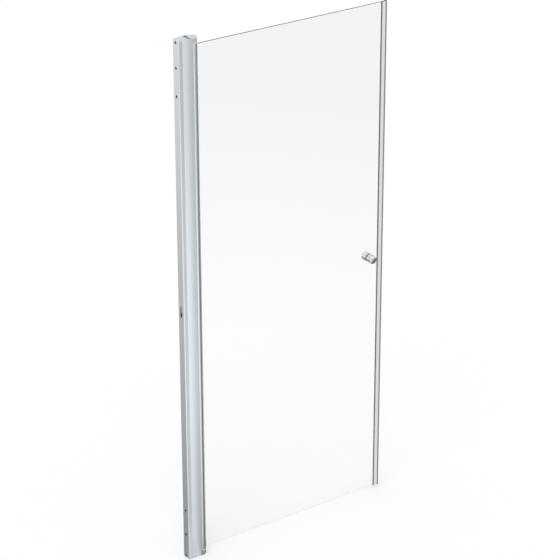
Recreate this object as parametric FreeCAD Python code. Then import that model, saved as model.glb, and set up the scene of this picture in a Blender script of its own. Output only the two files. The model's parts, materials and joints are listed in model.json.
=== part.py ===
import FreeCAD, Part
import math
import os

from FreeCAD import Vector

# A frameless glass shower door on an aluminium hinge post, in millimetres.
# X runs from the wall to the free edge, the room side is -Y and Z is up.
# The origin is on the wall face, midway across it, at the level of the shower tray.

# Whole door
height = 2000.0
adjust_travel = 15.0
slide_gap = 0.3
fastener_from_end = 150.0

# Small inner rods and their holes have flat sides, all turned the same way
small_sides = 16

# Wall profile
wall_thick = 2.0
band_length = 14.5
tongue_thick = 1.8
tongue_past_screw = 3.0
wall_corner = 3.0
screw_hole_r = 5.0
screw_hole_steps = (10.0, 100.0, 200.0)
slot_length = 43.0

# End caps of the wall profile
cap_thick = 3.0
cap_past_tongue = 1.0
cap_gap = 0.2
cap_skirt = 12.0
cap_skirt_thick = 1.5
cap_skirt_start = 16.0

# Hinge post, bulged front and back, with a round seat for the tube
tip_cover = 3.0
bulge_rise = 3.0
bulge_back = 18.0
post_wall = 2.0
tip_angle = 23.6
tip_round = 0.7
seat_gap = 0.75
web_thick = 2.2
web_room = 5.55
cavity_back = 13.5
guide_rib_end = 24.0
inner_rib_start = 33.5
port_past_tongue = 4.6
port_y = 9.0
port_r = 3.8
port_hole_r = 1.95

# Lip seals between the post and the tube
seal_angle = 30.0
seal_width = 2.0
seal_depth = 1.9
seal_tube_gap = 0.35

# Screws that clamp the post to the wall profile, on the back of the post
clamp_x = 20.0
clamp_seat_rise = 0.2
clamp_seat_r = 5.0
clamp_hole_r = 2.75
clamp_screw_r = 2.45
clamp_head_r = 4.2
clamp_head = 2.6
clamp_reach = 10.2
nut_plate = 12.0
nut_plate_thick = 3.0
nut_gap = 0.15
cover_r = 4.9
cover_top = 0.9

# Pivot blocks at both ends of the post
block_height = 18.5
neck_height = 10.0
neck_inset = 1.6
neck_past_tongue = 1.2
fit_gap = 0.2
nose_back = 3.5
nose_inset = 0.2
nose_edge = 1.0
hub_inset = 0.4
disc_thick = 1.8
disc_edge = 0.5
pin_r = 4.0
pin_length = 30.0
pin_end_gap = 2.0
press_gap = 0.02
grub_r = 2.5
grub_length = 8.0
block_screw_r = 1.9
block_screw_length = 25.0
block_head_r = 4.2
block_head = 2.4

# Glass tube that turns on the pins
tube_r = 18.0
tube_wall = 2.0
channel_wall = 1.8
channel_floor_x = 6.0
channel_floor = 1.6
tube_port_angle = 43.5
tube_port_depth = 4.9
tube_port_r = 3.3
tube_port_hole_r = 1.7
plug_flange = 2.5
plug_depth = 22.0
spigot_wall = 4.4
plug_gap = 0.15
plug_screw_r = 1.65
plug_head_r = 3.5
plug_screw_length = 18.0
bush_r = 5.0
bush_flange_r = 8.5
bush_flange = 0.9
bush_length = 18.0
thrust_gap = 0.1
running_gap = 0.05

# Glass and what holds it
glass_width = 800.0
glass_thick = 6.0
glass_bottom = 21.0
glass_below_top = 29.0
glass_arris = 0.3
gasket_thick = 1.6
gasket_bead = 1.2
setting_block = 1.4
setting_block_inset = 0.1
setting_block_length = 60.0

# Magnetic seal on the free edge
lip_cover = 12.8
lip_thick = 1.3
seal_floor = 1.3
pocket_length = 8.3
pocket_half = 5.2
pocket_wall = 1.0
magnet_gap = 0.1
magnet_proud = 1.5
strip_over = 0.6

# Knob through the glass
knob_from_edge = 50.0
knob_height = 995.0
knob_r = 15.0
knob_length = 27.0
knob_edge = 1.4
washer_thick = 1.0
washer_inset = 0.5
glass_hole_r = 8.0
sleeve_gap = 0.1
stud_r = 3.0
stud_gap = 0.05
stud_grip = 16.0
stud_end_gap = 1.0

# Places that follow from the sizes
post_deep = tube_r + tip_cover
wall_half = post_deep - bulge_rise
tongue_half = wall_half - wall_thick - slide_gap
tongue_end = clamp_x + adjust_travel + tongue_past_screw
post_start = band_length + slide_gap
guide_half = tongue_half + slide_gap
seat_r = tube_r + seat_gap
web_r = seat_r + web_thick
pivot_x = tongue_end + web_room + web_r
post_tip_x = pivot_x - seat_r * math.sin(math.radians(tip_angle))
cavity_end = pivot_x - cavity_back
port_x = tongue_end + port_past_tongue
bulge_x = pivot_x - bulge_back
bulge_r = ((bulge_x - post_start) ** 2 + bulge_rise ** 2) / (2 * bulge_rise)
bulge_centre = bulge_r - post_deep
clamp_seat_y = wall_half + clamp_seat_rise
neck_half = tube_r - neck_inset
neck_start = tongue_end + neck_past_tongue
nose_x = pivot_x - nose_back
nose_r = post_deep - nose_inset
hub_r = tube_r - hub_inset
tube_port_x = (tube_port_depth - tube_r) * math.cos(math.radians(tube_port_angle))
tube_port_y = (tube_r - tube_port_depth) * math.sin(math.radians(tube_port_angle))
glass_half = glass_thick / 2
channel_half = glass_half + gasket_thick
glass_x0 = pivot_x + channel_floor_x + channel_floor + setting_block
glass_x1 = glass_x0 + glass_width
glass_top = height - glass_below_top
knob_x = glass_x1 - knob_from_edge
bush_face = block_height + thrust_gap
plug_face = bush_face + bush_flange
tube_start = plug_face + plug_flange
tube_end = height - tube_start
fastener_heights = (fastener_from_end, height / 2, height - fastener_from_end)
middle = Vector(0, 0, height / 2)
up = Vector(0, 0, 1)
back = Vector(0, 1, 0)
across = Vector(1, 0, 0)


def brick(x0, x1, y0, y1, z0, z1):
    return Part.makeBox(x1 - x0, y1 - y0, z1 - z0, Vector(x0, y0, z0))


def post_rod(radius, x, y, z0, z1):
    return Part.makeCylinder(radius, z1 - z0, Vector(x, y, z0), up)


def cross_rod(radius, x, z, y0, y1):
    return Part.makeCylinder(radius, y1 - y0, Vector(x, y0, z), back)


def ring(radius, place):
    turn = 2 * math.pi / small_sides
    return [place(radius * math.cos(i * turn), radius * math.sin(i * turn)) for i in range(small_sides)]


def flat_face(points):
    return Part.Face(Part.makePolygon(points + points[:1]))


def small_post_rod(radius, x, y, z0, z1):
    face = flat_face(ring(radius, lambda a, b: Vector(x + a, y + b, z0)))
    return face.extrude(Vector(0, 0, z1 - z0))


def small_cross_rod(radius, x, z, y0, y1):
    face = flat_face(ring(radius, lambda a, b: Vector(x + a, y0, z + b)))
    return face.extrude(Vector(0, y1 - y0, 0))


def small_cone(radius_0, radius_1, x, y, z0, z1):
    low = ring(radius_0, lambda a, b: Vector(x + a, y + b, z0))
    high = ring(radius_1, lambda a, b: Vector(x + a, y + b, z1))
    sides = [flat_face([low[i - 1], low[i], high[i], high[i - 1]]) for i in range(small_sides)]
    return Part.makeSolid(Part.makeShell(sides + [flat_face(low), flat_face(high)]))


def line(a, b):
    return Part.LineSegment(Vector(*a), Vector(*b)).toShape()


def arc(a, b, c):
    return Part.Arc(Vector(*a), Vector(*b), Vector(*c)).toShape()


def extrude_edges(edges, z0, z1):
    face = Part.Face(Part.Wire(Part.sortEdges(edges)[0]))
    face.translate(Vector(0, 0, z0))
    return face.extrude(Vector(0, 0, z1 - z0))


def extrude_points(points, z0, z1):
    return extrude_edges([line(a, b) for a, b in zip(points, points[1:] + points[:1])], z0, z1)


def flip(shape):
    return shape.mirror(middle, up)


def rear(shape):
    return shape.mirror(Vector(0, 0, 0), back)


def is_upright(edge):
    box = edge.BoundBox
    return box.XLength < 0.01 and box.YLength < 0.01


def round_uprights(shape, radius, spots):
    def chosen(edge):
        place = edge.CenterOfMass
        return is_upright(edge) and any(math.hypot(place.x - x, place.y - y) < 0.05 for x, y in spots)
    return shape.makeFillet(radius, [edge for edge in shape.Edges if chosen(edge)])


def ease_rim(shape, size, level):
    def chosen(edge):
        box = edge.BoundBox
        return abs(box.YMin - level) < 0.01 and abs(box.YMax - level) < 0.01
    return shape.makeChamfer(size, [edge for edge in shape.Edges if chosen(edge)])


def bulge(x, inset=0.0):
    return math.sqrt((bulge_r - inset) ** 2 - (x - bulge_x) ** 2) - bulge_centre


def bulge_arc(x0, x1, inset=0.0):
    xm = (x0 + x1) / 2
    return arc((x0, -bulge(x0, inset)), (xm, -bulge(xm, inset)), (x1, -bulge(x1, inset)))


def round_chord(radius, x):
    return math.sqrt(radius ** 2 - (pivot_x - x) ** 2)


# Wall profile: a channel with stepped-in tongues that the post slides over
def wall_profile():
    inner = wall_half - wall_thick
    step_x = band_length - tongue_thick
    tongue_in = tongue_half - tongue_thick
    lower = [(wall_thick, -inner), (step_x, -inner), (step_x, -tongue_in), (tongue_end, -tongue_in),
             (tongue_end, -tongue_half), (band_length, -tongue_half), (band_length, -wall_half),
             (0.0, -wall_half)]
    upper = [(x, -y) for x, y in reversed(lower)]
    body = extrude_points(lower + upper, 0.0, height)
    body = round_uprights(body, wall_corner, [(0.0, -wall_half), (0.0, wall_half)])
    body = body.cut(wall_holes())
    return body.cut(Part.makeCompound([clamp_slot(z) for z in fastener_heights]))


def wall_hole(z):
    return Part.makeCylinder(screw_hole_r, wall_thick, Vector(0, 0, z), across)


def wall_holes():
    holes = [wall_hole(z) for step in screw_hole_steps for z in (step, height - step)]
    reach = slot_length / 2 - screw_hole_r
    low = height / 2 - reach
    high = height / 2 + reach
    between = brick(0.0, wall_thick, -screw_hole_r, screw_hole_r, low, high)
    slot = wall_hole(low).fuse([wall_hole(high), between])
    return Part.makeCompound(holes + [slot])


def clamp_slot(z):
    y0 = tongue_half - 2 * tongue_thick
    y1 = tongue_half + slide_gap / 2
    run = brick(clamp_x, tongue_end, y0, y1, z - clamp_hole_r, z + clamp_hole_r)
    return run.fuse(small_cross_rod(clamp_hole_r, clamp_x, z, y0, y1))


# Cap that closes the upper end of the wall profile, with two gripping skirts
def wall_cap_top():
    wide = wall_half - wall_thick - cap_gap
    narrow = tongue_half - tongue_thick - cap_gap
    step_x = band_length - tongue_thick - cap_gap
    z0 = height - cap_thick
    plate = brick(wall_thick + cap_gap, step_x, -wide, wide, z0, height)
    cap_end = tongue_end + cap_past_tongue
    plate = plate.fuse(brick(wall_thick + cap_gap, cap_end, -narrow, narrow, z0, height))
    skirt_end = tongue_end - cap_gap
    skirt = brick(cap_skirt_start, skirt_end, -narrow, cap_skirt_thick - narrow, z0 - cap_skirt, z0)
    return plate.fuse([skirt, rear(skirt)]).removeSplitter()


# Hinge post: bulged walls, guide ribs for the tongues, a round web and two screw ports
def post_outline():
    tip = post_tip_x
    seat_y = round_chord(seat_r, tip)
    front = [bulge_arc(post_start, tip), line((tip, -bulge(tip)), (tip, -seat_y))]
    seat = arc((tip, -seat_y), (pivot_x - seat_r, 0.0), (tip, seat_y))
    back_edge = line((post_start, bulge(post_start)), (post_start, -bulge(post_start)))
    return extrude_edges(front + [seat, back_edge] + [rear(edge) for edge in front], 0.0, height)


def post_cavity():
    end_a = guide_rib_end
    start_b = inner_rib_start
    end_b = tongue_end
    web_y = round_chord(web_r, cavity_end)
    deep = [bulge(x, post_wall) for x in (end_a, start_b, end_b, cavity_end)]
    front = [line((post_start, -guide_half), (end_a, -guide_half)),
             line((end_a, -guide_half), (end_a, -deep[0])),
             bulge_arc(end_a, start_b, post_wall),
             line((start_b, -deep[1]), (start_b, -guide_half)),
             line((start_b, -guide_half), (end_b, -guide_half)),
             line((end_b, -guide_half), (end_b, -deep[2])),
             bulge_arc(end_b, cavity_end, post_wall),
             line((cavity_end, -deep[3]), (cavity_end, -web_y))]
    web = arc((cavity_end, -web_y), (pivot_x - web_r, 0.0), (cavity_end, web_y))
    mouth = line((post_start, guide_half), (post_start, -guide_half))
    return extrude_edges(front + [web, mouth] + [rear(edge) for edge in front], 0.0, height)


def seal_groove(radius_in, radius_out, width, z0, z1):
    groove = brick(-width / 2, width / 2, -radius_out, -radius_in, z0, z1)
    groove.rotate(Vector(0, 0, 0), up, -seal_angle)
    groove.translate(Vector(pivot_x, 0, 0))
    return groove


def hinge_post():
    tip = post_tip_x
    body = post_outline()
    body = round_uprights(body, tip_round, [(tip, -bulge(tip)), (tip, bulge(tip))])
    body = body.cut(post_cavity())
    ports = [small_post_rod(port_r, port_x, y, 0.0, height) for y in (-port_y, port_y)]
    body = body.fuse(ports).removeSplitter()
    cuts = [small_post_rod(port_hole_r, port_x, y, 0.0, height) for y in (-port_y, port_y)]
    groove = seal_groove(tube_r, seat_r + seal_depth, seal_width, 0.0, height)
    cuts += [groove, rear(groove)]
    neck_room = neck_half + fit_gap
    for z0, z1 in ((0.0, block_height), (height - block_height, height)):
        cuts.append(brick(neck_start - 2 * fit_gap, pivot_x, -neck_room, neck_room, z0, z1))
    for z in fastener_heights:
        cuts.append(small_cross_rod(clamp_hole_r, clamp_x, z, tongue_half, post_deep))
        cuts.append(small_cross_rod(clamp_seat_r, clamp_x, z, clamp_seat_y, post_deep))
    return body.cut(Part.makeCompound(cuts))


# Lip seal set in the groove beside the post's front tip
def hinge_seal_front():
    foot = seal_groove(seat_r, seat_r + seal_depth, seal_width, block_height, height - block_height)
    lip = seal_groove(tube_r + seal_tube_gap, seat_r, seal_width / 2, block_height, height - block_height)
    return foot.fuse(lip).removeSplitter()


# Clamp screws, their nut plates and their press-on covers
def clamp_screw(z):
    head = small_cross_rod(clamp_head_r, clamp_x, z, clamp_seat_y, clamp_seat_y + clamp_head)
    shank = small_cross_rod(clamp_screw_r, clamp_x, z, clamp_seat_y - clamp_reach, clamp_seat_y)
    return head.fuse(shank)


def clamp_nut_plate(z):
    y1 = tongue_half - tongue_thick - nut_gap
    half = nut_plate / 2
    plate = brick(clamp_x - half, clamp_x + half, y1 - nut_plate_thick, y1, z - half, z + half)
    return plate.cut(small_cross_rod(clamp_screw_r + press_gap, clamp_x, z, y1 - nut_plate_thick, y1))


def clamp_cover(z):
    y1 = clamp_seat_y + clamp_head + press_gap + cover_top
    shell = small_cross_rod(cover_r, clamp_x, z, clamp_seat_y, y1)
    shell = ease_rim(shell, cover_top / 2, y1)
    return shell.cut(small_cross_rod(clamp_head_r + press_gap, clamp_x, z, clamp_seat_y, y1 - cover_top))


def each_clamp(make):
    return Part.makeCompound([make(z) for z in fastener_heights])


# Pivot block: a neck screwed to the post's web, a nose flush with its walls and a round hub
def nose(z0, z1):
    disc = post_rod(nose_r, nose_x, 0.0, z0, z1)
    front_x = post_tip_x + fit_gap
    shoulder = brick(front_x, nose_x, -nose_r, nose_r, z0, z1)
    keep = brick(front_x, nose_x + 2 * nose_r, -2 * nose_r, 2 * nose_r, z0, z1)
    return disc.common(keep).fuse(shoulder).removeSplitter()


def pivot_block(nose_start):
    body = nose(nose_start, block_height)
    rim = [edge for edge in body.Edges if abs(edge.BoundBox.ZMax - nose_start) < 0.01]
    outer = [edge for edge in rim if edge.BoundBox.XMax > post_tip_x + 2 * fit_gap]
    body = body.makeChamfer(nose_edge, outer)
    hub = post_rod(hub_r, pivot_x, 0.0, nose_start, block_height)
    neck_z0 = block_height - neck_height
    neck = brick(neck_start, nose_x, -neck_half, neck_half, neck_z0, block_height)
    body = body.fuse([hub, neck]).removeSplitter()
    cuts = [post_rod(pin_r + press_gap, pivot_x, 0.0, nose_start, block_height)]
    for y in (-port_y, port_y):
        cuts.append(small_post_rod(block_screw_r + press_gap, port_x, y, neck_z0, block_height))
    cuts.append(small_cross_rod(grub_r + press_gap, pivot_x, block_height / 2, 0.0, 2 * nose_r))
    return body.cut(Part.makeCompound(cuts))


def pivot_block_bottom():
    return pivot_block(0.0)


def pivot_block_top():
    return flip(pivot_block(disc_thick))


def pivot_cover_top():
    disc = post_rod(hub_r, pivot_x, 0.0, height - disc_thick, height)
    rim = [edge for edge in disc.Edges if abs(edge.BoundBox.ZMin - height) < 0.01]
    return disc.makeChamfer(disc_edge, rim)


def pivot_pin_bottom():
    z0 = disc_thick + pin_end_gap
    return post_rod(pin_r, pivot_x, 0.0, z0, z0 + pin_length)


def grub_screws():
    y1 = pin_r + press_gap + grub_length
    grub = small_cross_rod(grub_r, pivot_x, block_height / 2, pin_r + press_gap, y1)
    socket = small_cross_rod(grub_r / 2, pivot_x, block_height / 2, y1 - grub_r, y1)
    grub = grub.cut(socket)
    return Part.makeCompound([grub, flip(grub)])


def pivot_block_screws():
    seat = block_height - neck_height
    screws = []
    for y in (-port_y, port_y):
        shank = small_post_rod(block_screw_r, port_x, y, seat, seat + block_screw_length)
        screw = shank.fuse(small_post_rod(block_head_r, port_x, y, seat - block_head, seat))
        screws += [screw, flip(screw)]
    return Part.makeCompound(screws)


# Round tube with a glass channel and two screw ports
def pivot_tube():
    z0, z1 = tube_start, tube_end
    ring = post_rod(tube_r, pivot_x, 0.0, z0, z1)
    ring = ring.cut(post_rod(tube_r - tube_wall, pivot_x, 0.0, z0, z1))
    floor_x = pivot_x + channel_floor_x
    outer = channel_half + channel_wall
    channel = brick(floor_x, pivot_x + tube_r - tube_wall / 2, -outer, outer, z0, z1)
    channel = channel.common(post_rod(tube_r - tube_wall / 2, pivot_x, 0.0, z0, z1))
    port_x_here = pivot_x + tube_port_x
    ports = [small_post_rod(tube_port_r, port_x_here, y, z0, z1) for y in (-tube_port_y, tube_port_y)]
    body = ring.fuse([channel] + ports).removeSplitter()
    room = brick(floor_x + channel_floor, pivot_x + 2 * tube_r, -channel_half, channel_half, z0, z1)
    holes = [small_post_rod(tube_port_hole_r, port_x_here, y, z0, z1) for y in (-tube_port_y, tube_port_y)]
    return body.cut(Part.makeCompound([room] + holes))


# Plug in the tube's end: a flange under the tube and a spigot inside it, bored for a bush
def tube_plug(glass_slot):
    floor_x = pivot_x + channel_floor_x
    flange = post_rod(tube_r, pivot_x, 0.0, plug_face, tube_start)
    spigot_end = tube_start + plug_depth
    port_x_here = pivot_x + tube_port_x
    spigot = small_post_rod(bush_r + spigot_wall, pivot_x, 0.0, tube_start, spigot_end)
    spigot = spigot.cut(brick(floor_x - plug_gap, floor_x + tube_r, -tube_r, tube_r, tube_start, spigot_end))
    for y in (-tube_port_y, tube_port_y):
        spigot = spigot.cut(small_post_rod(tube_port_r + plug_gap, port_x_here, y, tube_start, spigot_end))
    body = flange.fuse(spigot).removeSplitter()
    cuts = [small_post_rod(bush_r + press_gap, pivot_x, 0.0, plug_face, spigot_end)]
    for y in (-tube_port_y, tube_port_y):
        cuts.append(small_cone(plug_head_r + press_gap, plug_screw_r + press_gap, port_x_here, y,
                               plug_face, tube_start))
    if glass_slot:
        x0 = floor_x + channel_floor
        cuts.append(brick(x0, x0 + tube_r, -channel_half, channel_half, plug_face, tube_start))
    return body.cut(Part.makeCompound(cuts))


def tube_plug_bottom():
    return tube_plug(True)


def tube_plug_top():
    return flip(tube_plug(False))


def tube_plug_screws():
    screws = []
    for y in (-tube_port_y, tube_port_y):
        x = pivot_x + tube_port_x
        cone = small_cone(plug_head_r, plug_screw_r, x, y, plug_face, tube_start)
        screw = cone.fuse(small_post_rod(plug_screw_r, x, y, tube_start, plug_face + plug_screw_length))
        screws += [screw, flip(screw)]
    return Part.makeCompound(screws)


def pivot_bush_bottom():
    barrel = small_post_rod(bush_r, pivot_x, 0.0, plug_face, plug_face + bush_length)
    flange = small_post_rod(bush_flange_r, pivot_x, 0.0, bush_face, plug_face)
    bore = post_rod(pin_r + running_gap, pivot_x, 0.0, bush_face, plug_face + bush_length)
    return barrel.fuse(flange).cut(bore)


# Glass pane with a hole for the knob and eased edges
def glass_panel():
    pane = brick(glass_x0, glass_x1, -glass_half, glass_half, glass_bottom, glass_top)
    pane = pane.makeChamfer(glass_arris, [edge for edge in pane.Edges if edge.BoundBox.YLength < 0.01])
    return pane.cut(cross_rod(glass_hole_r, knob_x, knob_height, -glass_half, glass_half))


# Gasket between the channel's front wall and the glass, with a bead over the tube's lip
def glazing_gasket_front():
    x0 = glass_x0 + glass_arris
    lip_x = pivot_x + math.sqrt(tube_r ** 2 - channel_half ** 2)
    x1 = lip_x + gasket_bead
    z0 = tube_start
    z1 = glass_top - glass_arris
    strip = brick(x0, x1, -channel_half, -glass_half, z0, z1)
    bead = brick(lip_x, x1, -channel_half - gasket_bead, -glass_half, z0, z1)
    return strip.fuse(bead).removeSplitter()


def glass_setting_blocks():
    x0 = glass_x0 - setting_block
    y1 = glass_half - setting_block_inset
    half = setting_block_length / 2
    blocks = [brick(x0, glass_x0, -y1, y1, z - half, z + half) for z in fastener_heights]
    return Part.makeCompound(blocks)


# Clear seal clipped over the free glass edge, with a pocket for the magnet
def seal_profile():
    z0 = glass_bottom - strip_over
    z1 = glass_top + strip_over
    x0 = glass_x1 - lip_cover
    lip_y = glass_half + lip_thick
    pocket_x = glass_x1 + seal_floor
    end_x = pocket_x + pocket_length
    clip = brick(x0, pocket_x, -lip_y, lip_y, z0, z1)
    clip = round_uprights(clip, lip_thick / 2, [(x0, -lip_y), (x0, lip_y)])
    pocket = brick(pocket_x, end_x, -pocket_half, pocket_half, z0, z1)
    corners = [(x, y) for x in (pocket_x, end_x) for y in (-pocket_half, pocket_half)]
    pocket = round_uprights(pocket, pocket_wall, corners)
    body = clip.fuse(pocket).removeSplitter()
    slot = brick(x0, glass_x1, -glass_half, glass_half, z0, z1)
    hollow = brick(pocket_x + pocket_wall, end_x - pocket_wall, pocket_wall - pocket_half,
                   pocket_half - pocket_wall, z0, z1)
    return body.cut(slot).cut(hollow)


def seal_magnet():
    inset = pocket_wall + magnet_gap
    x0 = glass_x1 + seal_floor
    half = pocket_half - inset
    return brick(x0 + inset, x0 + pocket_length - inset, -half, half,
                 glass_bottom - strip_over, glass_top + strip_over + magnet_proud)


# Knob halves on both sides of the glass, joined by a stud through a sleeve
def knob_front():
    y0 = -glass_half - washer_thick
    body = cross_rod(knob_r, knob_x, knob_height, y0 - knob_length, y0)
    body = ease_rim(body, knob_edge, y0 - knob_length)
    return body.cut(small_cross_rod(stud_r + stud_gap, knob_x, knob_height, y0 - stud_grip, y0))


def knob_washers():
    y0 = -glass_half - washer_thick
    washer = small_cross_rod(knob_r - washer_inset, knob_x, knob_height, y0, -glass_half)
    washer = washer.cut(small_cross_rod(stud_r + stud_gap, knob_x, knob_height, y0, -glass_half))
    return Part.makeCompound([washer, rear(washer)])


def knob_sleeve():
    sleeve = small_cross_rod(glass_hole_r - sleeve_gap, knob_x, knob_height, -glass_half, glass_half)
    return sleeve.cut(small_cross_rod(stud_r + stud_gap, knob_x, knob_height, -glass_half, glass_half))


def knob_stud():
    reach = glass_half + washer_thick + stud_grip - stud_end_gap
    return small_cross_rod(stud_r, knob_x, knob_height, -reach, reach)


def main():
    front_seal = hinge_seal_front()
    front_gasket = glazing_gasket_front()
    knob = knob_front()
    pin = pivot_pin_bottom()
    bush = pivot_bush_bottom()
    cap = wall_cap_top()
    nodes = {
        "wall_profile": wall_profile(),
        "wall_cap_top": cap,
        "wall_cap_bottom": flip(cap),
        "hinge_post": hinge_post(),
        "hinge_seal_front": front_seal,
        "hinge_seal_rear": rear(front_seal),
        "clamp_screws": each_clamp(clamp_screw),
        "clamp_nut_plates": each_clamp(clamp_nut_plate),
        "clamp_screw_covers": each_clamp(clamp_cover),
        "pivot_block_top": pivot_block_top(),
        "pivot_block_bottom": pivot_block_bottom(),
        "pivot_block_screws": pivot_block_screws(),
        "pivot_cover_top": pivot_cover_top(),
        "pivot_pin_top": flip(pin),
        "pivot_pin_bottom": pin,
        "pin_grub_screws": grub_screws(),
        "pivot_tube": pivot_tube(),
        "tube_plug_top": tube_plug_top(),
        "tube_plug_bottom": tube_plug_bottom(),
        "tube_plug_screws": tube_plug_screws(),
        "pivot_bush_top": flip(bush),
        "pivot_bush_bottom": bush,
        "glass_panel": glass_panel(),
        "glazing_gasket_front": front_gasket,
        "glazing_gasket_rear": rear(front_gasket),
        "glass_setting_blocks": glass_setting_blocks(),
        "seal_profile": seal_profile(),
        "seal_magnet": seal_magnet(),
        "knob_front": knob,
        "knob_rear": rear(knob),
        "knob_washers": knob_washers(),
        "knob_sleeve": knob_sleeve(),
        "knob_stud": knob_stud(),
    }
    os.makedirs("parts", exist_ok=True)
    for name, shape in nodes.items():
        shape.exportStep("parts/%s.step" % name)


main()
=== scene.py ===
import json
import math

import bmesh
import bpy
from mathutils import Matrix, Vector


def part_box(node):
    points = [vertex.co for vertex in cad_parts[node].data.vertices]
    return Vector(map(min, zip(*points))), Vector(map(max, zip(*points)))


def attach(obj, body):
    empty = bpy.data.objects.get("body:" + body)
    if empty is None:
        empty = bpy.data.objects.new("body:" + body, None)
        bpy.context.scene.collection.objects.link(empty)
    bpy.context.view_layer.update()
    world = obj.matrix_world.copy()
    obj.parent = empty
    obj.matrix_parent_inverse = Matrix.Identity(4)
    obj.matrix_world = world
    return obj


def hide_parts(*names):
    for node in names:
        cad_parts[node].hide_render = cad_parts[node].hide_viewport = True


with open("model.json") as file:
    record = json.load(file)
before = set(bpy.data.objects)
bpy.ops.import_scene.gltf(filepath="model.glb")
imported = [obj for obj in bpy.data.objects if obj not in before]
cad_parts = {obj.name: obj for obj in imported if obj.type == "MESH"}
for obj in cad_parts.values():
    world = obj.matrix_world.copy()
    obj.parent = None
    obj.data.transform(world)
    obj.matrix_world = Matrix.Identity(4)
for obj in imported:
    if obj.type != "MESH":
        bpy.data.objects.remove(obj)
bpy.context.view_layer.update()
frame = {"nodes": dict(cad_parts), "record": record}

# Camera, fitted to the straight edges of the photograph. Angles in degrees
camera_place = (-3.83976, -6.02409, 4.41484)
camera_turn = -35.28307
camera_pitch = 24.75794
camera_roll = -0.08714
camera_lens = 145.5633
camera_reach = 100.0
sensor_width = 36.0

# Light and floor
sky_light = 0.88
sky_colour = (1.0, 1.0, 1.0)
sun_light = 0.65
sun_height = 55.0
sun_side = -50.0
sun_softness = 40.0
floor_size = 60.0
floor_colour = (0.955, 0.955, 0.955)

# Finishes: cells of grain per metre along each axis, the two colours and the two roughnesses that the grain
# runs between, and the relief's depth and strength. Die lines of the extrusions run upwards, and polishing
# lines of the knob run round its axis
finishes = {
    "anodised_aluminium": dict(
        grain=(1500.0, 1500.0, 8.0), colours=((0.80, 0.85, 0.885), (0.85, 0.90, 0.935)),
        roughness=(0.13, 0.19), relief=(0.00003, 0.10), Metallic=1.0),
    "cast_block": dict(
        grain=(1800.0, 1800.0, 1800.0), colours=((0.60, 0.62, 0.64), (0.72, 0.74, 0.76)),
        roughness=(0.34, 0.46), relief=(0.00006, 0.15), Metallic=0.85),
    "grey_plastic": dict(
        grain=(2500.0, 2500.0, 2500.0), colours=((0.58, 0.59, 0.605), (0.64, 0.65, 0.665)),
        roughness=(0.42, 0.55), relief=(0.00005, 0.2), IOR=1.49),
    "steel": dict(
        grain=(2200.0, 2200.0, 300.0), colours=((0.54, 0.55, 0.56), (0.66, 0.67, 0.68)),
        roughness=(0.26, 0.40), relief=(0.00003, 0.15), Metallic=1.0),
    "bearing_plastic": dict(
        grain=(1200.0, 1200.0, 1200.0), colours=((0.78, 0.78, 0.76), (0.84, 0.84, 0.825)),
        roughness=(0.36, 0.48), relief=(0.00005, 0.15), IOR=1.48),
    "grey_gasket": dict(
        grain=(900.0, 900.0, 60.0), colours=((0.34, 0.35, 0.36), (0.43, 0.44, 0.45)),
        roughness=(0.50, 0.65), relief=(0.00005, 0.2), IOR=1.5),
    "black_magnet": dict(
        grain=(1400.0, 1400.0, 120.0), colours=((0.020, 0.020, 0.022), (0.045, 0.045, 0.048)),
        roughness=(0.50, 0.66), relief=(0.00005, 0.2), IOR=1.5),
    "black_rubber": dict(
        grain=(1600.0, 1600.0, 1600.0), colours=((0.022, 0.022, 0.024), (0.05, 0.05, 0.052)),
        roughness=(0.48, 0.62), relief=(0.00004, 0.2), IOR=1.5),
    "knob_chrome": dict(
        grain=(150.0, 2600.0, 150.0), colours=((0.78, 0.79, 0.81), (0.84, 0.85, 0.865)),
        roughness=(0.06, 0.11), relief=(0.00001, 0.1), Metallic=1.0),
    "clear_glass": dict(
        grain=(2.2, 2.2, 1.4), colours=((0.996, 0.999, 0.998), (0.999, 1.0, 1.0)),
        roughness=(0.0, 0.003), relief=(0.00002, 0.05), IOR=1.5, Transmission_Weight=1.0),
}

# The part of the noise's range that a grain runs over
grain_low = 0.3
grain_high = 0.7

# Inside of the glass: the colour that it lets through, and how strongly it absorbs the rest, per metre
glass_tint = (0.35, 0.52, 0.50)
glass_density = 5.0

# Edge seal: finish, the grey painted as shade on its edge, its lining against the glass and its magnet
# chamber, and where that painted shade begins, in metres
seal_grain = (1100.0, 1100.0, 5.0)
seal_lips = ((0.80, 0.815, 0.82), (0.87, 0.88, 0.885))
# Painted shade: grey that stands in for the dark lines of refraction and narrow gaps along the seal
seal_painted_shade = ((0.21, 0.215, 0.22), (0.27, 0.275, 0.28))
seal_roughness = (0.18, 0.30)
seal_relief = (0.00004, 0.15)
seal_ior = 1.5
seal_alpha = 0.86
seal_edge_x = 0.8632
seal_chamber_x = 0.8762
seal_lining_y = 0.0031
seal_blend = 0.0003

# Knob, in metres: radius of the domed end and of the edge round it, and a ring below the edge that keeps the
# side's shading even
knob_dome = 0.042
knob_edge = 0.0014
knob_ring = 0.001
knob_steps = 96
knob_dome_steps = 12
knob_edge_steps = 6

# Turned meshes: sharp above this angle, in radians, with points closer than this made one, in metres
corner_angle = 0.7
merge_distance = 0.000001

# Reflection bowl round the column. Headings in degrees from the front, to the right; distances from the
# column and heights in metres; lights from 0, black, to 1, white
bowl_place = (0.050, -0.019, 0.0)
bowl_radius = 6.0
bowl_height = 7.0
bowl_lift = 0.002
bowl_steps = 96
far_reach = 5.4

# Front of the bowl: lightest at middle distance, and darker towards the right
front_near = 0.1
front_full = 1.4
front_fall = 2.1
front_near_light = 0.77
front_light = 1.0
front_far_light = 0.82
front_fade_start = 14.0
front_fade_end = 40.0
front_fade_light = 0.52

# Right of the bowl
right_flag_start = 39.0
right_flag_end = 54.0
right_near = 2.2
right_near_light = 0.18
right_far_light = 0.33

# Factors close to the foot of the column
foot_near = 0.06
foot_far = 0.18
front_foot = 0.90
right_foot = 1.3

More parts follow.
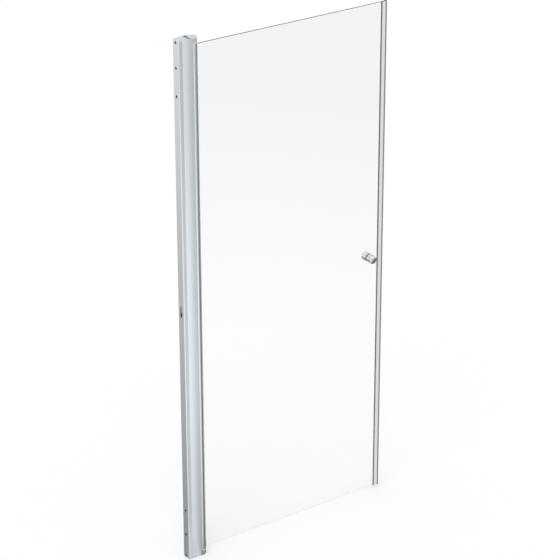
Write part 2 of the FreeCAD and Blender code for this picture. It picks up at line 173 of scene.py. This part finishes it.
# Left of the bowl, on the wall side
left_start = -66.0
left_end = -134.0
left_near_light = 0.29
left_far_light = 0.76
left_curve = 0.75

# Rear of the bowl, from the right and from the left
rear_right_start = 80.0
rear_right_end = 150.0
rear_left_start = -156.0
rear_left_end = -165.0
rear_near = 1.8
rear_far = 4.4
rear_near_light = 0.30
rear_far_light = 0.80

# What the pane mirrors, and the headings over which that gives way to the bowl's own light for rays from
# inside the glass
pane_near = 1.8
pane_far = 4.9
pane_near_light = 1.0
pane_far_light = 0.04
behind_start = 84.0
behind_end = 106.0

# Wall of the bowl: white above its foot, with darker bands that draw the lines along the knob. Each band has
# its light, first and last heading, foot and top
wall_foot = 0.15
wall_white = 0.6
wall_bands = ((0.05, 122.0, 148.0, 0.9, 2.75), (0.60, -175.0, -138.0, 4.2, 5.7))
band_turn_blur = 5.0
band_height_blur = 0.1

# A count of bounces above this is one or more
once = 0.5

# Sockets of a Mix node for each kind of value: first input, second input and output
mix_sockets = {"FLOAT": (2, 3, 0), "RGBA": (6, 7, 2)}


def new_tree(name):
    material = bpy.data.materials.new(name)
    material.use_nodes = True
    material.node_tree.nodes.clear()
    return material, material.node_tree


def add(tree, kind, **sockets):
    """A node with its sockets set or linked."""
    node = tree.nodes.new(kind)
    for name, value in sockets.items():
        plug(tree, node, name.replace("_", " "), value)
    return node


def plug(tree, node, name, value):
    if isinstance(value, bpy.types.NodeSocket):
        tree.links.new(value, node.inputs[name])
    else:
        node.inputs[name].default_value = value


def math_node(tree, operation, first, second=0.0):
    node = tree.nodes.new("ShaderNodeMath")
    node.operation = operation
    plug(tree, node, 0, first)
    plug(tree, node, 1, second)
    return node.outputs[0]


def product(tree, first, *others):
    for value in others:
        first = math_node(tree, "MULTIPLY", first, value)
    return first


def span(tree, value, from_low, from_high, to_low, to_high, smooth=False):
    """A value mapped from one range to another, held at the ends."""
    node = tree.nodes.new("ShaderNodeMapRange")
    node.interpolation_type = "SMOOTHSTEP" if smooth else "LINEAR"
    for index, number in enumerate((value, from_low, from_high, to_low, to_high)):
        plug(tree, node, index, number)
    return node.outputs["Result"]


def within(tree, value, low, high, blur):
    """1 between two bounds and 0 outside them, with soft ends."""
    rise = span(tree, value, low - blur, low + blur, 0.0, 1.0, True)
    fall = span(tree, value, high - blur, high + blur, 1.0, 0.0, True)
    return product(tree, rise, fall)


def blend(tree, factor, first, second, kind="FLOAT"):
    node = tree.nodes.new("ShaderNodeMix")
    node.data_type = kind
    first_input, second_input, result = mix_sockets[kind]
    for name, value in (("Factor", factor), (first_input, first), (second_input, second)):
        plug(tree, node, name, value)
    return node.outputs[result]


def blend_shader(tree, factor, first, second):
    node = tree.nodes.new("ShaderNodeMixShader")
    for index, socket in enumerate((factor, first, second)):
        tree.links.new(socket, node.inputs[index])
    return node.outputs["Shader"]


def noise(tree, scale, detail=3.0):
    """Noise in the piece's own coordinates, with a separate scale in cells per metre on each axis."""
    place = add(tree, "ShaderNodeTexCoord").outputs["Object"]
    stretched = add(tree, "ShaderNodeMapping", Vector=place, Scale=scale).outputs["Vector"]
    return add(tree, "ShaderNodeTexNoise", Vector=stretched, Scale=1.0, Detail=detail).outputs["Fac"]


def graded(tree, pattern, low, high):
    return span(tree, pattern, grain_low, grain_high, low, high)


def shade(tree, pattern, dark, light):
    """A colour between two that follows a grain."""
    return blend(tree, graded(tree, pattern, 0.0, 1.0), (*dark, 1.0), (*light, 1.0), "RGBA")


def bump(tree, height, depth, strength):
    return add(tree, "ShaderNodeBump", Height=height, Distance=depth, Strength=strength).outputs["Normal"]


def output(tree, shader):
    add(tree, "ShaderNodeOutputMaterial", Surface=shader)


def surface(name, grain, colours, roughness, relief, **sockets):
    """A principled material whose colour, roughness and bump all follow one grain."""
    material, tree = new_tree(name)
    pattern = noise(tree, grain)
    shader = add(tree, "ShaderNodeBsdfPrincipled", **sockets)
    plug(tree, shader, "Base Color", shade(tree, pattern, *colours))
    plug(tree, shader, "Roughness", graded(tree, pattern, *roughness))
    plug(tree, shader, "Normal", bump(tree, pattern, *relief))
    output(tree, shader.outputs["BSDF"])
    return material


def material_end(tree):
    return next(node for node in tree.nodes if node.type == "OUTPUT_MATERIAL")


def clear(material):
    """Lets lamps and light from the floor pass, so that a clear piece throws no shadow."""
    tree = material.node_tree
    end = material_end(tree)
    solid = end.inputs["Surface"].links[0].from_socket
    through = add(tree, "ShaderNodeBsdfTransparent").outputs["BSDF"]
    path = add(tree, "ShaderNodeLightPath").outputs
    lit = math_node(tree, "MAXIMUM", path["Is Shadow Ray"], path["Is Diffuse Ray"])
    tree.links.new(blend_shader(tree, lit, solid, through), end.inputs["Surface"])


def absorb(material, colour, density):
    """Colour that grows with the way light goes inside, so a pane's edges are darker than its faces."""
    tree = material.node_tree
    inside = add(tree, "ShaderNodeVolumeAbsorption", Color=(*colour, 1.0), Density=density)
    tree.links.new(inside.outputs["Volume"], material_end(tree).inputs["Volume"])


def seal_shade_mask(tree):
    """1 where the seal's shade is painted grey: its edge, for the dark line that refraction draws there, and
    its lining against the glass and its magnet chamber, which lie in the shade of narrow gaps.
    """
    place = add(tree, "ShaderNodeTexCoord").outputs["Object"]
    parts = add(tree, "ShaderNodeSeparateXYZ", Vector=place).outputs
    chamber = span(tree, parts["X"], seal_chamber_x, seal_chamber_x + seal_blend, 0.0, 1.0)
    off_glass = math_node(tree, "ABSOLUTE", parts["Y"])
    lining = span(tree, off_glass, seal_lining_y, seal_lining_y + seal_blend, 1.0, 0.0)
    edge = span(tree, parts["X"], seal_edge_x, seal_edge_x + seal_blend, 1.0, 0.0)
    return math_node(tree, "MAXIMUM", edge, math_node(tree, "MAXIMUM", chamber, lining))


def seal_plastic():
    """Milky clear lips, and grey painted as shade on the edge, the lining and the magnet chamber."""
    material, tree = new_tree("clear_seal")
    pattern = noise(tree, seal_grain)
    lips = shade(tree, pattern, *seal_lips)
    # Painted shade: grey for the seal's edge, lining and magnet chamber, in place of refraction and shade
    painted_shade = shade(tree, pattern, *seal_painted_shade)
    shader = add(tree, "ShaderNodeBsdfPrincipled", IOR=seal_ior, Alpha=seal_alpha)
    plug(tree, shader, "Base Color", blend(tree, seal_shade_mask(tree), lips, painted_shade, "RGBA"))
    plug(tree, shader, "Roughness", graded(tree, pattern, *seal_roughness))
    plug(tree, shader, "Normal", bump(tree, pattern, *seal_relief))
    output(tree, shader.outputs["BSDF"])
    return material


def make_materials():
    """One material for each slot of the model."""
    made = {slot: surface(slot, **finish) for slot, finish in finishes.items()}
    clear(made["clear_glass"])
    absorb(made["clear_glass"], glass_tint, glass_density)
    made["clear_seal"] = seal_plastic()
    return made


def dress(made):
    """Every node of the model takes the material of its slot."""
    for part in frame["record"]["subparts"]:
        for place in frame["nodes"][part["node"]].material_slots:
            place.material = made[part["material_slot"]]


def put(name, mesh, material):
    piece = bpy.data.objects.new(name, mesh)
    bpy.context.scene.collection.objects.link(piece)
    mesh.materials.append(material)
    return piece


def turned(degrees, axis):
    return Matrix.Rotation(math.radians(degrees), 4, axis)


def lathe(name, profile, steps):
    """A smooth mesh turned about Z from pairs of radius and height, sharp only at its corners."""
    shape = bmesh.new()
    points = [shape.verts.new((across, 0.0, up)) for across, up in profile]
    edges = [shape.edges.new(pair) for pair in zip(points, points[1:])]
    bmesh.ops.spin(shape, geom=points + edges, cent=(0, 0, 0), axis=(0, 0, 1), angle=math.tau, steps=steps)
    bmesh.ops.remove_doubles(shape, verts=shape.verts, dist=merge_distance)
    bmesh.ops.recalc_face_normals(shape, faces=shape.faces)
    for face in shape.faces:
        face.smooth = True
    for edge in shape.edges:
        edge.smooth = len(edge.link_faces) < 2 or edge.calc_face_angle() < corner_angle
    mesh = bpy.data.meshes.new(name)
    shape.to_mesh(mesh)
    shape.free()
    return mesh


def knob_profile(radius, length):
    """Half section of a knob half, as radius and distance from the glass: side, eased edge and dome."""
    dome_place = length - knob_dome
    edge_across = radius - knob_edge
    edge_reach = knob_dome - knob_edge
    slope = math.asin(edge_across / edge_reach)
    edge_place = dome_place + edge_reach * math.cos(slope)
    points = [(0.0, 0.0), (radius, 0.0), (radius, edge_place - knob_ring)]
    for step in range(knob_edge_steps + 1):
        turn = math.pi / 2 + (slope - math.pi / 2) * step / knob_edge_steps
        points.append((edge_across + knob_edge * math.sin(turn), edge_place + knob_edge * math.cos(turn)))
    for step in range(1, knob_dome_steps + 1):
        turn = slope * (1 - step / knob_dome_steps)
        points.append((knob_dome * math.sin(turn), dome_place + knob_dome * math.cos(turn)))
    return points


def knob_half(node, to_room, material):
    """A knob half with a domed end, in the place and size of its node."""
    low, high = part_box(node)
    middle = (low + high) / 2
    glass_side = high.y if to_room else low.y
    mesh = lathe(node + "_domed", knob_profile((high.x - low.x) / 2, high.y - low.y), knob_steps)
    turn = turned(90.0 if to_room else -90.0, "X")
    mesh.transform(Matrix.Translation((middle.x, glass_side, middle.z)) @ turn)
    piece = put(node + "_domed", mesh, material)
    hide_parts(node)
    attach(piece, "door")


def floor():
    material, tree = new_tree("studio_floor")
    output(tree, add(tree, "ShaderNodeBsdfDiffuse", Color=(*floor_colour, 1.0)).outputs["BSDF"])
    half = floor_size / 2
    corners = [(-half, -half, 0.0), (half, -half, 0.0), (half, half, 0.0), (-half, half, 0.0)]
    mesh = bpy.data.meshes.new("studio_floor")
    mesh.from_pydata(corners, [], [(0, 1, 2, 3)])
    put("studio_floor", mesh, material)


def bowl_mesh():
    """A flat disc round the column that turns up into a wall."""
    profile = [(0.0, bowl_lift), (bowl_radius, bowl_lift), (bowl_radius, bowl_height)]
    return lathe("reflection_bowl", profile, bowl_steps)


def place_from_column(tree):
    """Heading, distance and height of a point of the bowl as seen from the foot of the column."""
    place = add(tree, "ShaderNodeTexCoord").outputs["Object"]
    parts = add(tree, "ShaderNodeSeparateXYZ", Vector=place).outputs
    forward = math_node(tree, "MULTIPLY", parts["Y"], -1.0)
    heading = math_node(tree, "DEGREES", math_node(tree, "ARCTAN2", parts["X"], forward))
    squares = [product(tree, parts[axis], parts[axis]) for axis in "XY"]
    return heading, math_node(tree, "SQRT", math_node(tree, "ADD", *squares)), parts["Z"]


def front_part(tree, heading, distance):
    near = span(tree, distance, front_near, front_full, front_near_light, front_light, True)
    far = span(tree, distance, front_fall, far_reach, 1.0, front_far_light, True)
    foot = span(tree, distance, foot_near, foot_far, front_foot, 1.0, True)
    fade = span(tree, heading, front_fade_start, front_fade_end, 1.0, front_fade_light)
    return product(tree, near, far, foot, fade)


def right_part(tree, distance):
    light = span(tree, distance, right_near, far_reach, right_near_light, right_far_light, True)
    foot = span(tree, distance, foot_near, foot_far, right_foot, 1.0, True)
    return product(tree, light, foot)


def left_part(tree, distance):
    reach = math_node(tree, "POWER", span(tree, distance, 0.0, far_reach, 0.0, 1.0), left_curve)
    return span(tree, reach, 0.0, 1.0, left_near_light, left_far_light)


def disc_light(tree, heading, distance):
    """Pale to the front, darker to the right, and darker close to the column on the wall side and behind."""
    rear = span(tree, distance, rear_near, rear_far, rear_near_light, rear_far_light, True)
    to_right = span(tree, heading, right_flag_start, right_flag_end, 0.0, 1.0, True)
    past_right = span(tree, heading, rear_right_start, rear_right_end, 0.0, 1.0, True)
    to_left = span(tree, heading, left_end, left_start, 1.0, 0.0, True)
    past_left = span(tree, heading, rear_left_end, rear_left_start, 1.0, 0.0, True)
    light = blend(tree, to_right, front_part(tree, heading, distance), right_part(tree, distance))
    light = blend(tree, past_right, light, rear)
    light = blend(tree, to_left, light, left_part(tree, distance))
    return blend(tree, past_left, light, rear)


def wall_light(tree, heading, height, light):
    """The disc's light at the foot of the wall, white above it, and the darker bands."""
    light = blend(tree, span(tree, height, wall_foot, wall_white, 0.0, 1.0, True), light, 1.0)
    for band_light, turn_start, turn_end, foot, top in wall_bands:
        turn = within(tree, heading, turn_start, turn_end, band_turn_blur)
        rise = within(tree, height, foot, top, band_height_blur)
        light = blend(tree, product(tree, turn, rise), light, band_light)
    return light


def bowl_rays(tree, heading):
    """1 for rays that see the bowl, which are mirrored ones, and 1 for those of them that the pane mirrors.
    Only the pane is sharp enough for singular rays. Rays sent on by a diffuse surface don't see the bowl."""
    path = add(tree, "ShaderNodeLightPath").outputs
    behind = span(tree, math_node(tree, "ABSOLUTE", heading), behind_start, behind_end, 0.0, 1.0, True)
    reflected = math_node(tree, "GREATER_THAN", path["Glossy Depth"], once)
    direct = math_node(tree, "SUBTRACT", path["Is Glossy Ray"], path["Is Transmission Ray"])
    in_pane = math_node(tree, "MAXIMUM", direct, math_node(tree, "SUBTRACT", reflected, behind))
    in_pane = product(tree, in_pane, path["Is Singular Ray"])
    mirrored = math_node(tree, "MAXIMUM", product(tree, behind, reflected), direct)
    mirrored = math_node(tree, "MAXIMUM", mirrored, in_pane)
    straight = math_node(tree, "LESS_THAN", path["Diffuse Depth"], once)
    return product(tree, mirrored, straight), in_pane


def bowl_material():
    """Shines on mirrored rays and is clear to all others."""
    material, tree = new_tree("reflection_bowl")
    heading, distance, height = place_from_column(tree)
    mirrored, in_pane = bowl_rays(tree, heading)
    light = wall_light(tree, heading, height, disc_light(tree, heading, distance))
    pane = span(tree, distance, pane_near, pane_far, pane_near_light, pane_far_light)
    light = blend(tree, in_pane, light, pane)
    glow = add(tree, "ShaderNodeEmission", Strength=light).outputs["Emission"]
    through = add(tree, "ShaderNodeBsdfTransparent").outputs["BSDF"]
    output(tree, blend_shader(tree, mirrored, through, glow))
    material.cycles.emission_sampling = "NONE"
    return material


def bowl():
    """Seen only in reflections."""
    piece = put("reflection_bowl", bowl_mesh(), bowl_material())
    piece.location = bowl_place
    piece.visible_camera = False
    piece.visible_diffuse = False
    piece.visible_shadow = False


def sun():
    lamp = bpy.data.lights.new("studio_sun", "SUN")
    lamp.energy = sun_light
    lamp.angle = math.radians(sun_softness)
    piece = bpy.data.objects.new("studio_sun", lamp)
    piece.matrix_world = turned(sun_side, "Z") @ turned(90.0 - sun_height, "X")
    bpy.context.scene.collection.objects.link(piece)


def sky():
    """White where it is seen or mirrored, and gentler as a light."""
    world = bpy.data.worlds.new("studio_sky")
    world.use_nodes = True
    tree = world.node_tree
    tree.nodes.clear()
    path = add(tree, "ShaderNodeLightPath").outputs
    seen = math_node(tree, "MAXIMUM", path["Is Camera Ray"], path["Is Glossy Ray"])
    seen = math_node(tree, "MAXIMUM", seen, path["Is Transmission Ray"])
    straight = math_node(tree, "LESS_THAN", path["Diffuse Depth"], once)
    strength = span(tree, product(tree, seen, straight), 0.0, 1.0, sky_light, 1.0)
    light = add(tree, "ShaderNodeBackground", Color=(*sky_colour, 1.0), Strength=strength)
    add(tree, "ShaderNodeOutputWorld", Surface=light.outputs["Background"])
    bpy.context.scene.world = world


def camera():
    lens = bpy.data.cameras.new("photo_camera")
    lens.lens = camera_lens
    lens.sensor_width = sensor_width
    lens.clip_end = camera_reach
    piece = bpy.data.objects.new("photo_camera", lens)
    aim = turned(camera_turn, "Z") @ turned(90.0 - camera_pitch, "X") @ turned(camera_roll, "Z")
    piece.matrix_world = Matrix.Translation(camera_place) @ aim
    bpy.context.scene.collection.objects.link(piece)
    bpy.context.scene.camera = piece


materials = make_materials()
dress(materials)
knob_half("knob_front", True, materials["knob_chrome"])
knob_half("knob_rear", False, materials["knob_chrome"])
floor()
bowl()
sun()
sky()
camera()
bpy.context.scene.view_settings.view_transform = "Standard"
